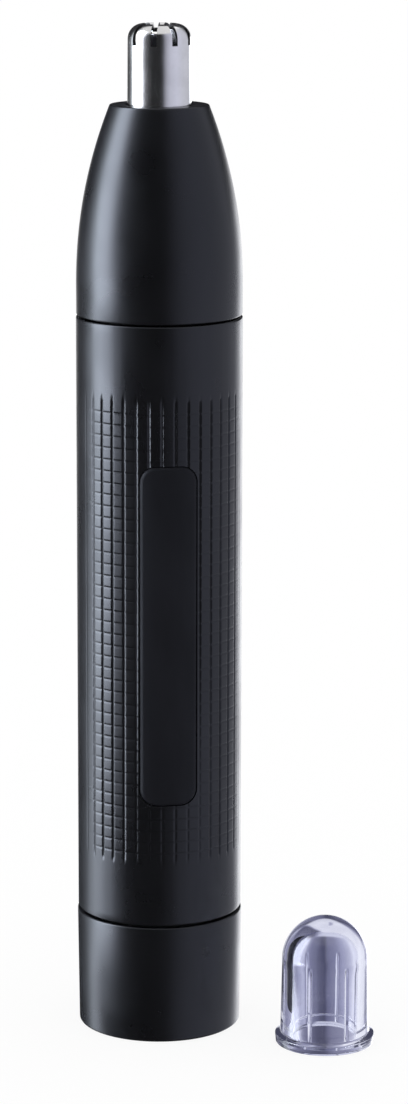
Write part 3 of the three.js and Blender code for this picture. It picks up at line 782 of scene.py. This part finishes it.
def chassis():
    spool = turned("chassis", rounded([
        (0, CHASSIS_LOW),
        (8.0, CHASSIS_LOW, 0.2),
        (8.0, 3.9, 0.2),
        (JOURNAL_R, 3.9),
        (JOURNAL_R, SHOULDER),
        (NECK_R, SHOULDER, 0.2),
        (NECK_R, NECK_GROOVE, 0.1),
        (NECK_GROOVE_R, NECK_GROOVE, 0.1),
        (NECK_GROOVE_R, NECK_GROOVE + GROOVE_HEIGHT, 0.1),
        (NECK_R, NECK_GROOVE + GROOVE_HEIGHT, 0.1),
        (NECK_R, HOUSING_LOW),
        (SPOOL_R, HOUSING_LOW),
        (SPOOL_R, SNAP_LOW),
        (CHASSIS_R, SNAP_LOW),
        (SPOOL_R, SNAP_TOP),
        (SPOOL_R, WAIST_LOW, 0.2),
        (WAIST_R, WAIST_LOW, 0.2),
        (WAIST_R, WAIST_TOP, 0.2),
        (SPOOL_R, WAIST_TOP, 0.2),
        (SPOOL_R, CHASSIS_TOP, 0.2),
        (0, CHASSIS_TOP),
    ]))
    under, over, through = CHASSIS_LOW - 1, CHASSIS_TOP + 1, (-12, 12)
    return cut(
        join(spool, sector("lug", JOURNAL_R - 0.3, LUG_R, LUG_FROM, LUG_TO, LUG_LOW, SHOULDER + 0.2)),
        disc("cell_bore", CELL_BORE, under, DIVIDER_LOW),
        disc("contact_well", 6.6, DIVIDER_TOP, MOTOR_SEAT + 0.1),
        flat_sided("motor_seat", MOTOR_SEAT_R, MOTOR_SEAT_FLAT, MOTOR_SEAT, over),
        block("strip_channel", (-6.8, -5), (-1.5, 1.5), (under, MOTOR_SEAT + 0.1)),
        block("tab_slot", (4.75, 5.45), (-1.4, 1.4), (DIVIDER_LOW - 0.1, DIVIDER_TOP + 0.1)),
        block("cell_window", (-3.4, 3.4), through, (24, 47)),
        block("motor_window", (-2.6, 2.6), through, (60, 70)),
        disc("front_hole", SCREW_HOLE_R, SCREW_HOLE_LOW, over, centre=(0, -SCREW_Y), count=32),
        disc("back_hole", SCREW_HOLE_R, SCREW_HOLE_LOW, over, centre=(0, SCREW_Y), count=32),
    )


def flat_sided(name, radius, flat, bottom, top):
    """A round block with two flat sides."""
    limit = math.asin(flat / radius)
    right = np.linspace(-limit, limit, 40)
    angles = np.concatenate([right, right + math.pi])
    return extruded(name, [(radius * math.cos(a), radius * math.sin(a)) for a in angles], bottom, top)


def motor_clamp():
    bore = 3.25

    def hole(y):
        return disc("hole", 0.95, CLAMP_LOW - 1, CLAMP_TOP + 1, centre=(0, y), count=32)

    clamp = turned("clamp", rounded([
        (bore, CLAMP_LOW),
        (CLAMP_R, CLAMP_LOW, 0.15),
        (CLAMP_R, CLAMP_TOP, 0.3),
        (bore, CLAMP_TOP, 0.3),
    ]))
    return cut(clamp, hole(SCREW_Y), hole(-SCREW_Y))


def clamp_screw(y):
    """A pan-head thread-forming screw with a cross recess."""
    head_height, head_r, thread_r, length = 0.85, 1.5, 0.8, 6.5
    seat = extent("motor_screw_back")[2] - head_height
    pitch, depth = 0.62, 0.14
    body = turned("screw", rounded([
        (0, seat - length),
        (0.35, seat - length),
        (thread_r, seat - length + 0.8),
        *[point for z in np.arange(seat - 5.4, seat - 0.8, pitch)
          for point in ((thread_r - depth, z), (thread_r, z + pitch / 2))],
        (0.75, seat),
        (head_r, seat, 0.08),
        (head_r, seat + 0.5, 0.2),
        (1.1, seat + head_height, 0.15),
        (0, seat + head_height),
    ]), even_angles(48))
    recess = [block("recess", (-0.85, 0.85), (-0.17, 0.17), (seat + 0.4, seat + 1)) for _ in range(2)]
    return moved(cut(body, recess[0], spun(recess[1], 90)), 0, y)


NECK_SEAL_Z = NECK_GROOVE + GROOVE_HEIGHT / 2
HEAD_SEAL_Z = HEAD_GROOVE + GROOVE_HEIGHT / 2

stand_in(chassis(), "chassis")
stand_in(seal_ring("seal", NECK_GROOVE_R + SEAL_GAP, BASE_BORE - 0.1, NECK_SEAL_Z), "neck_seal")
stand_in(motor_clamp(), "motor_clamp")
stand_in(clamp_screw(-SCREW_Y), "motor_screw_front")
stand_in(clamp_screw(SCREW_Y), "motor_screw_back")


TANG_HALF_WIDTH, TANG_HALF_THICKNESS = 1.5, 0.6


def drive_coupling():
    """A hub on the motor's shaft under a socket for the blade shaft's tang."""
    bore, bore_top, hub_r, hub_top = 0.82, 85.75, 2.9, 84.4
    body = turned("coupling", rounded([
        (bore, COUPLING_LOW),
        (hub_r, COUPLING_LOW, 0.2),
        (hub_r, hub_top),
        (COUPLING_R, hub_top + 0.6),
        (COUPLING_R, COUPLING_TOP, 0.3),
        (0, COUPLING_TOP),
        (0, bore_top),
        (bore, bore_top),
    ]), even_angles(96))
    half_width, half_thickness = TANG_HALF_WIDTH + 0.25, TANG_HALF_THICKNESS + 0.2
    socket = block(
        "socket", (-half_width, half_width), (-half_thickness, half_thickness), (86.2, COUPLING_TOP + 1)
    )
    return spun(cut(body, socket), REST_TURN)


stand_in(drive_coupling(), "drive_coupling")


# ---- Cell ----


def battery_cell():
    """A cell with a rolled sleeve edge at each end and a raised button."""
    shoulder = CELL_TOP - 1.0
    return turned("cell", rounded([
        (0, CELL_LOW),
        (3.9, CELL_LOW, 0.1),
        (4.3, CELL_LOW + 0.2, 0.1),
        (4.75, CELL_LOW + 0.05, 0.05),
        (CELL_R, CELL_LOW + 0.3, 0.25),
        (CELL_R, shoulder - 0.1, 0.3),
        (4.55, shoulder - 0.05, 0.1),
        (4.4, shoulder - 0.3, 0.1),
        (2.4, shoulder - 0.2, 0.1),
        (1.9, shoulder, 0.1),
        (1.9, CELL_TOP, 0.2),
        (0, CELL_TOP),
    ]))


stand_in(battery_cell(), "battery_cell")


# ---- Head ----

TAPER_POWER = 2.1
SPIGOT_BORE = 8.1
WEB = 118.2  # the cone's inner face over the cutter's flange
FLANGE_TOP = 117.0
FLANGE_POCKET_R = 5.9
RETAINER_POCKET_R = 7.5
RETAINER_POCKET_LOW = 114.2


def cone_radius(height):
    share = np.clip((height - TAPER_FROM) / (CONE_TOP - TAPER_FROM), 0, None)
    return CONE_R - (CONE_R - CONE_TOP_R) * share ** TAPER_POWER


def cone_curve(start, end, steps, inset=0.0):
    return [(float(cone_radius(z)) - inset, z) for z in np.linspace(start, end, steps)]


def nose_cone():
    wall, hole_r, shoulder = BODY_R - HOUSING_BORE, TUBE_R + 0.2, CONE_TOP - 0.5
    # Known fault: rounded() closes this open run of corners, which folds its first fillet.
    return turned("cone", [
        (SPIGOT_BORE, SPIGOT_LOW),
        *rounded([
            (SPOOL_R, SPIGOT_LOW, 0.2),
            (SPOOL_R, HEAD_GROOVE, 0.08),
            (HEAD_GROOVE_R, HEAD_GROOVE, 0.08),
            (HEAD_GROOVE_R, HEAD_GROOVE + GROOVE_HEIGHT, 0.08),
            (SPOOL_R, HEAD_GROOVE + GROOVE_HEIGHT, 0.08),
            (SPOOL_R, CONE_LOW),
            (CONE_R, CONE_LOW, EDGE),
            (CONE_R, TAPER_FROM),
        ])[:-1],
        *cone_curve(TAPER_FROM, shoulder, 48),
        *rounded([
            (float(cone_radius(shoulder)), shoulder),
            (CONE_TOP_R, CONE_TOP, 0.22),
            (hole_r, CONE_TOP, 0.2),
            (hole_r, WEB),
        ])[1:],
        (FLANGE_POCKET_R, WEB),
        (FLANGE_POCKET_R, FLANGE_TOP),
        (RETAINER_POCKET_R, FLANGE_TOP),
        (RETAINER_POCKET_R, RETAINER_POCKET_LOW),
        *cone_curve(RETAINER_POCKET_LOW, TAPER_FROM, 16, wall),
        (CONE_R - wall, 98.8),
        (SPIGOT_BORE, 97.6),
    ], even_angles(256))


TIP_SLOTS = 9
SLOT_HALF = 0.4
SLOT_FIRST = -107.1
SLOT_FOOT = 132.5
TIP_CORNER = 2.0
TIP_DISH = 0.6
TUBE_SKIN = 0.4


def quarter(radius_centre, height_centre, size, steps, inwards):
    """A quarter circle of outline points, from upright to level, or back when inwards."""
    angles = np.linspace(0, math.pi / 2, steps)
    points = [(radius_centre + size * math.cos(a), height_centre + size * math.sin(a)) for a in angles]
    return points[::-1] if inwards else points


def outer_cutter():
    """The slotted steel tube. Each slot runs up the side and over the rounded top, which is dished."""
    top_r, dish = TUBE_R - 0.05, TIP_TOP - TIP_DISH
    corner_r, corner_z = top_r - TIP_CORNER, TIP_TOP - TIP_CORNER
    # Known fault: rounded() closes this open run of corners, which folds its first fillet.
    cup = turned("tube", [
        (TUBE_R - 0.35, FLANGE_LOW),
        *rounded([
            (FLANGE_R, FLANGE_LOW, 0.1),
            (FLANGE_R, FLANGE_LOW + 0.8, 0.1),
            (TUBE_R + 0.05, FLANGE_LOW + 0.8, 0.15),
            (top_r, corner_z),
        ])[:-1],
        *quarter(corner_r, corner_z, TIP_CORNER, 16, False),
        (1.55, dish),
        (0, dish),
        (0, dish - TUBE_SKIN),
        (1.4, dish - TUBE_SKIN),
        *quarter(corner_r, corner_z, TIP_CORNER - TUBE_SKIN, 12, True),
    ], even_angles(216))

    def slot():
        return block("slot", (1.2, 6), (-SLOT_HALF, SLOT_HALF), (SLOT_FOOT, TIP_TOP + 1))

    return cut(cup, *around(TIP_SLOTS, slot, SLOT_FIRST))


def cutter_retainer():
    """The ring under the flange, with three openings that let hair out."""
    bore = SHAFT_R + 0.2
    corners = [
        (bore, RETAINER_LOW, 0.2),
        (RETAINER_R, RETAINER_LOW, 0.2),
        (RETAINER_R, RETAINER_TOP, 0.1),
        (bore, RETAINER_TOP, 0.1),
    ]
    outlets = around(3, lambda: sector("outlet", 2.6, 3.7, -30, 30, RETAINER_LOW - 1, RETAINER_TOP + 1))
    return cut(turned("retainer", rounded(corners)), *outlets)


stand_in(nose_cone(), "nose_cone")
stand_in(outer_cutter(), "outer_cutter")
stand_in(cutter_retainer(), "cutter_retainer")
stand_in(seal_ring("seal", HEAD_GROOVE_R + SEAL_GAP, HOUSING_BORE - SEAL_GAP, HEAD_SEAL_Z), "head_seal")


# ---- Blade rotor ----

BLADE_HALF = 0.25
COLLAR_LOW, COLLAR_TOP = 121.2, 122.3
HOLDER_R = 2.5
HOLDER_LOW = 126.2


def blade_plate():
    """One plate of the cross, with ground edges and a relief under the tube's dish."""
    stem, reach, shoulder = 2.0, 3.62, 1.5
    flare_low, flare_top, relief = 128.6, 130.4, BLADE_TOP - 0.8
    right = [
        (stem, BLADE_LOW),
        (stem, flare_low, 0.3),
        (reach, flare_top, 0.3),
        (reach, BLADE_TOP, shoulder),
        (1.95, BLADE_TOP),
        (1.7, relief),
    ]
    left = [(-x, *rest) for x, *rest in right]
    outline = rounded([left[0], *right, *left[:0:-1]], 10)
    return extruded("blade", outline, -BLADE_HALF, BLADE_HALF, 0.06, bend=lambda x, y, z: (x, -z, y))


def inner_cutter():
    return spun(join(blade_plate(), spun(blade_plate(), 90)), REST_TURN)


def blade_shaft():
    """A round shaft with a flat tang below and a cross-slotted holder for the blades above."""
    tang_top = 90.6
    round_shaft = turned("shaft", rounded([
        (0, tang_top),
        (SHAFT_R, tang_top, 0.15),
        (SHAFT_R, COLLAR_LOW),
        (COLLAR_R, COLLAR_LOW, 0.12),
        (COLLAR_R, COLLAR_TOP, 0.12),
        (SHAFT_R, COLLAR_TOP),
        (SHAFT_R, HOLDER_LOW),
        (HOLDER_R, HOLDER_LOW + 0.3),
        (HOLDER_R, SHAFT_TOP, 0.15),
        (0, SHAFT_TOP),
    ]), even_angles(72))
    width, thickness = (-TANG_HALF_WIDTH, TANG_HALF_WIDTH), (-TANG_HALF_THICKNESS, TANG_HALF_THICKNESS)
    tang = block("tang", width, thickness, (SHAFT_LOW, tang_top + 0.2), 0.12)
    slots = [block("slot", (-3, 3), (-0.4, 0.4), (HOLDER_LOW + 0.7, SHAFT_TOP + 1)) for _ in range(2)]
    return spun(cut(join(round_shaft, tang), slots[0], spun(slots[1], 90)), REST_TURN)


stand_in(inner_cutter(), "inner_cutter")
stand_in(blade_shaft(), "blade_shaft")
stand_in(spun(coil("spring", 0.2, 2.5, 2.5, 117.2, COLLAR_LOW - 0.1, 4), REST_TURN), "shaft_spring")


# ---- Tip cap ----

CAP_MOUTH_R = 4.9
CAP_FOOT_R = 6.55
CAP_RIM_TOP = 1.2
CAP_BORE = 4.4
CAP_BORE_TOP = 15.4
CAP_BORE_CORNER = 3.9
CAP_DOME_R = 5.75
CAP_RIBS = 6
CAP_RIB_FIRST = -123.0
CAP_RIB_TOP = 11.2
CAP_RIB_HALF = 0.28
CAP_RIB_DEPTH = 0.2


def tip_cap():
    """The clear cover: a thick dome on a rim, with fine grip ribs down its bore."""
    ribs = np.radians(CAP_RIB_FIRST + np.arange(CAP_RIBS) * 360 / CAP_RIBS)

    def gripping(angle, radius, height):
        rib = groove(turn_from_nearest(angle, ribs) * CAP_BORE, CAP_RIB_HALF, CAP_RIB_DEPTH)
        fade = np.clip((CAP_RIB_TOP - height) / 0.8, 0, 1)
        inside = (radius < CAP_BORE + 0.1) & (height > 1.1) & (height < CAP_RIB_TOP + 0.1)
        return np.where(inside, -rib * fade, 0)

    fine = (ribs[:, None] + np.linspace(-1, 1, 11) * CAP_RIB_HALF / CAP_BORE).ravel() % (2 * math.pi)
    angles = gathered(fine, even_angles(240), math.radians(0.8))
    dome_z = CAP_TOP - CAP_DOME_R
    outline = [
        *rounded([
            (CAP_MOUTH_R, 0, 0.1),
            (CAP_FOOT_R, 0, 0.12),
            (CAP_R, CAP_RIM_TOP, 0.15),
            (CAP_DOME_R + 0.2, CAP_RIM_TOP + 0.35, 0.3),
            (CAP_DOME_R, dome_z),
        ])[:-1],
        *quarter(0, dome_z, CAP_DOME_R, 48, False)[:-1],
        (0, CAP_TOP),
        (0, CAP_BORE_TOP),
        *quarter(CAP_BORE - CAP_BORE_CORNER, CAP_BORE_TOP - CAP_BORE_CORNER, CAP_BORE_CORNER, 28, True),
        *[(CAP_BORE + 0.05, z) for z in np.linspace(CAP_RIB_TOP, 0.9, 12)],
        (CAP_MOUTH_R, 0.4),
    ]
    return turned("cap", outline, angles, CAP_CENTRE, gripping)


stand_in(tip_cap(), "tip_cap", 28.0)


# ---- CAD parts that are shown as they are ----


def smooth_by_angle():
    """A modifier tree that joins a faceted part's triangles and smooths between its real edges."""
    group = bpy.data.node_groups.new("smooth_by_angle", "GeometryNodeTree")
    group.interface.new_socket("Geometry", in_out="INPUT", socket_type="NodeSocketGeometry")
    group.interface.new_socket("Geometry", in_out="OUTPUT", socket_type="NodeSocketGeometry")
    start, end = group.nodes.new("NodeGroupInput"), group.nodes.new("NodeGroupOutput")
    weld = group.nodes.new("GeometryNodeMergeByDistance")
    weld.inputs["Distance"].default_value = 1e-6
    angle = group.nodes.new("GeometryNodeInputMeshEdgeAngle")
    below = group.nodes.new("FunctionNodeCompare")
    below.operation = "LESS_THAN"
    below.inputs[1].default_value = math.radians(34)
    faces = group.nodes.new("GeometryNodeSetShadeSmooth")
    edges = group.nodes.new("GeometryNodeSetShadeSmooth")
    edges.domain = "EDGE"
    group.links.new(start.outputs[0], weld.inputs["Geometry"])
    group.links.new(weld.outputs[0], faces.inputs["Geometry"])
    group.links.new(faces.outputs[0], edges.inputs["Geometry"])
    group.links.new(angle.outputs[0], below.inputs[0])
    group.links.new(below.outputs[0], edges.inputs["Shade Smooth"])
    group.links.new(edges.outputs[0], end.inputs[0])
    return group


def dress_cad_parts():
    smoothing = smooth_by_angle()
    for node, part in frame["nodes"].items():
        if part.hide_render:
            continue
        part.data.materials.clear()
        part.data.materials.append(FINISHES[SLOT_OF[node]])
        part.modifiers.new("smooth", "NODES").node_group = smoothing


dress_cad_parts()


# ---- Studio ----
#
# There are no lamps. The world shows plain white to the camera and to soft light, one set of panels to
# reflections, and one picture of its own to what is seen through the clear cap.

CAMERA_BEARING = -7.1  # degrees, from straight in front towards +X
CAMERA_PITCH = 11.9
CAMERA_DISTANCE = 0.4997
CAMERA_LENS = 121.7
CAMERA_AIM = (0.0060, 0.0, 0.06493)
CAMERA_ROLL = 0.13  # degrees

# What shiny surfaces see round the studio, by bearing from the camera (minus is left): brightness and tint.
PANELS = [
    (-180, 1.0, (1.0, 1.0, 1.0)),
    (-168, 0.8, (1.0, 1.0, 1.0)),
    (-156, 0.11, (0.94, 0.97, 1.06)),
    (-142, 0.10, (0.94, 0.97, 1.06)),
    (-128, 0.22, (0.94, 0.97, 1.06)),
    (-119, 0.50, (0.94, 1.0, 1.1)),
    (-112, 1.0, (0.92, 1.01, 1.12)),
    (-105, 4.2, (0.92, 1.01, 1.12)),
    (-99, 11.0, (0.93, 1.01, 1.12)),
    (-75, 11.0, (0.95, 1.0, 1.12)),
    (-69, 4.2, (0.95, 0.98, 1.12)),
    (-63, 1.3, (0.95, 0.98, 1.12)),
    (-57, 0.5, (0.95, 0.98, 1.1)),
    (-50, 0.20, (0.95, 0.98, 1.1)),
    (-40, 0.07, (0.95, 0.98, 1.08)),
    (-24, 0.028, (0.95, 0.98, 1.08)),
    (5, 0.028, (0.95, 0.98, 1.08)),
    (14, 0.09, (0.93, 0.96, 1.14)),
    (21, 0.30, (0.93, 0.95, 1.16)),
    (29, 0.50, (0.93, 0.95, 1.16)),
    (42, 0.66, (0.93, 0.95, 1.16)),
    (66, 0.76, (0.93, 0.95, 1.16)),
    (95, 0.70, (0.94, 0.96, 1.12)),
    (135, 0.68, (0.95, 0.97, 1.1)),
    (143, 1.7, (0.97, 0.99, 1.06)),
    (152, 3.2, (0.98, 0.99, 1.04)),
    (164, 2.5, (0.99, 1.0, 1.02)),
    (174, 1.1, (1.0, 1.0, 1.0)),
    (180, 1.0, (1.0, 1.0, 1.0)),
]
PANEL_PEAK = 14.0
WALL_BEHIND = (0.04, 0.04, 0.045)
CEILING = (0.9, 0.9, 0.93)
TABLE = (0.10, 0.10, 0.11)
BACKGROUND = 1.0

# How the left panel's edge leans, in degrees, and its light dims as a direction drops from one height to
# another: (first height, last height, first value, last value). The values add up.
LEFT_LEANS = [(-0.13, -0.09, 0, 9.5), (-0.15, -0.24, -9.5, 3), (-0.24, -0.30, 0, 34)]
LEFT_DIMMINGS = [(-0.12, -0.15, 0, -0.22), (-0.16, -0.285, 0, 0.71), (-0.285, -0.31, 0, 0.22)]


def ramp_of(tree, share, stops):
    """A colour ramp through (position, colour) stops."""
    ramp = add_node(tree, "ValToRGB", {"Fac": share})
    elements = ramp.color_ramp.elements
    while len(elements) < len(stops):
        elements.new(0.5)
    for element, (position, colour) in zip(elements, stops):
        element.position = position
        element.color = (*colour, 1.0)
    return ramp.outputs[0]


def summed(tree, z, changes, unit=1.0):
    return total(tree, *[
        straight(tree, z, low * unit, high * unit, start, end) for start, end, low, high in changes
    ])


def camera_axes(tree, x, y):
    """How far a direction points towards the camera, and to the camera's right."""
    bearing = math.radians(CAMERA_BEARING)
    front = total(tree, product(tree, x, math.sin(bearing)), product(tree, y, -math.cos(bearing)))
    side = total(tree, product(tree, x, math.cos(bearing)), product(tree, y, math.sin(bearing)))
    return front, side


def panel_light(tree, front, side, z):
    """Colour of the studio's panels in a direction, from its bearing and height."""
    angle = calculate(tree, "ARCTAN2", side, front)
    left = ranged(tree, angle, 1, 0, math.radians(-30), math.radians(-15))
    inner = straight(tree, angle, 0.42, 1, math.radians(-115), math.radians(-80))
    lean = product(tree, summed(tree, z, LEFT_LEANS, math.radians(1)), product(tree, left, inner))
    leaning = total(tree, angle, lean)
    share = straight(tree, leaning, 0, 1, -math.pi, math.pi)
    panels = ramp_of(tree, share, [
        ((degrees + 180) / 360, scaled(tint, level / PANEL_PEAK)) for degrees, level, tint in PANELS
    ])
    dimming = product(tree, left, summed(tree, z, LEFT_DIMMINGS))
    strength = product(tree, calculate(tree, "SUBTRACT", 1.0, dimming), PANEL_PEAK)
    walls = add_node(tree, "VectorMath", {0: panels, "Scale": strength}, operation="SCALE").outputs[0]
    behind = product(tree, ranged(tree, front, 1, 0, -0.75, -0.45), ranged(tree, z, 0, 1, -0.06, 0.04))
    walls = mixed(tree, behind, walls, WALL_BEHIND)
    walls = mixed(tree, ranged(tree, z, 0, 1, 0.68, 0.85), walls, CEILING)
    return mixed(tree, ranged(tree, z, 1, 0, -0.75, -0.55), walls, TABLE)


# What the clear cap shows behind it, by how far a ray leans right: brightness low down and high up.
THROUGH_LOW = [
    (-1.0, 0.60), (-0.5, 0.35), (-0.25, 0.32), (-0.17, 0.45), (-0.12, 0.58), (-0.10, 0.42),
    (-0.06, 0.22), (-0.01, 0.15), (0.01, 0.10), (0.03, 0.09), (0.05, 0.20), (0.10, 0.24),
    (0.14, 0.36), (0.25, 0.62), (0.34, 1.0), (1.0, 1.0),
]
THROUGH_HIGH = [(-1.0, 0.50), (-0.3, 0.15), (-0.09, 0.11), (-0.05, 0.40), (-0.02, 0.80), (1.0, 0.95)]


def lilac(level):
    """A pale colour that is bluer where it is darker."""
    blue = 1.0 + 0.6 * (1 - level) ** 1.5
    return level * 0.92, level * 0.93, min(level * blue, 1.0)


def glimpse(tree, side, levels):
    share = straight(tree, side, 0, 1, -1, 1)
    return ramp_of(tree, share, [((lean + 1) / 2, lilac(level)) for lean, level in levels])


def light_studio():
    world = bpy.data.worlds.new("studio")
    bpy.context.scene.world = world
    world.use_nodes = True
    tree = world.node_tree
    tree.nodes.clear()
    direction = add_node(tree, "TexCoord").outputs["Generated"]
    x, y, z = add_node(tree, "SeparateXYZ", {0: direction}).outputs
    front, side = camera_axes(tree, x, y)
    panels = panel_light(tree, front, side, z)
    low, high = glimpse(tree, side, THROUGH_LOW), glimpse(tree, side, THROUGH_HIGH)
    through = mixed(tree, ranged(tree, z, 0, 1, 0.05, 0.2), low, high)
    colour = mixed(tree, light_path(tree, "Is Glossy Ray"), (BACKGROUND,) * 3, panels)
    colour = mixed(tree, light_path(tree, "Is Transmission Ray"), colour, through)
    background = add_node(tree, "Background", {"Color": colour})
    add_node(tree, "OutputWorld", {"Surface": background.outputs[0]})
    world.cycles.sampling_method = "NONE"


FLOOR_REACH = 3500
FLOOR_SHADOW = 0.12  # the share of the floor's look that takes shadows


def lay_floor():
    """A white floor that runs into the white background and keeps a trace of contact shadow."""
    corners = [(x * FLOOR_REACH, y * FLOOR_REACH, 0) for x, y in ((-1, -1), (1, -1), (1, 1), (-1, 1))]
    floor = new_piece("studio_floor", corners, [(0, 1, 2, 3)])
    material, tree = new_tree("studio_floor")
    glow = add_node(tree, "Emission", {"Color": (BACKGROUND, BACKGROUND, BACKGROUND, 1)})
    paper = add_node(tree, "BsdfDiffuse", {"Color": (BACKGROUND, BACKGROUND, BACKGROUND, 1)})
    blend = add_node(tree, "MixShader", {0: FLOOR_SHADOW, 1: glow.outputs[0], 2: paper.outputs[0]})
    add_node(tree, "OutputMaterial", {"Surface": blend.outputs[0]})
    floor.data.materials.append(material)
    floor.visible_glossy = False
    floor.visible_transmission = False


def place_camera():
    bearing, pitch = math.radians(CAMERA_BEARING), math.radians(CAMERA_PITCH)
    back = (math.sin(bearing) * math.cos(pitch), -math.cos(bearing) * math.cos(pitch), math.sin(pitch))
    camera = bpy.data.objects.new("camera", bpy.data.cameras.new("camera"))
    camera.data.lens = CAMERA_LENS
    camera.data.clip_start, camera.data.clip_end = 0.01, 20.0
    camera.location = [aim + CAMERA_DISTANCE * part for aim, part in zip(CAMERA_AIM, back)]
    roll = Matrix.Rotation(math.radians(CAMERA_ROLL), 3, "Z")
    camera.rotation_euler = (Euler((math.radians(90) - pitch, 0, bearing)).to_matrix() @ roll).to_euler()
    bpy.context.scene.collection.objects.link(camera)
    bpy.context.scene.camera = camera


light_studio()
lay_floor()
place_camera()
bpy.context.scene.view_settings.view_transform = "Standard"
